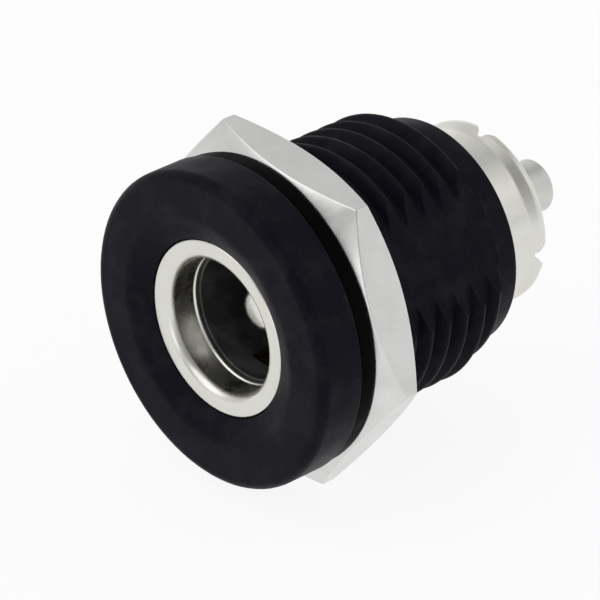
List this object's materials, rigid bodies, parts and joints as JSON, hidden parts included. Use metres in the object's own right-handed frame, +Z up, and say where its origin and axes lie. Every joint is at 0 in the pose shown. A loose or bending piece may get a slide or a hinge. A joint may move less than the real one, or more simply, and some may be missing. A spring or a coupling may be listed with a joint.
{
  "type": "dc barrel jack",
  "caption": "Panel-mount barrel power jack with a round flange, threaded barrel, hex nut, rubber gasket, centre pin and rear solder terminals.",
  "frame": {"origin": "on the jack's axis, in the plane of the flange's rear face, where the gasket seats", "axes": "+Y along the axis from the socket mouth to the terminals, +Z up, +X to the right when looking along +Y"},
  "size_m": [0.016, 0.0192, 0.015],
  "materials": {
    "body_plastic": "satin near-black moulding",
    "gasket_rubber": "smooth black rubber",
    "nut_metal": "satin nickel plating",
    "shell_plating": "polished nickel plating",
    "core_plastic": "plain black moulding",
    "leaf_brass": "bare spring brass",
    "disc_phenolic": "brown phenolic board",
    "tag_plating": "tinned plating",
    "pin_plating": "polished nickel plating"
  },
  "bodies": {
    "root": {"jack_body": "body_plastic", "gasket": "gasket_rubber", "panel_nut": "nut_metal", "contact_shell": "shell_plating", "socket_core": "core_plastic", "leaf_contact": "leaf_brass", "rear_disc": "disc_phenolic", "sleeve_tag": "tag_plating", "centre_pin": "pin_plating"}
  },
  "joints": []
}
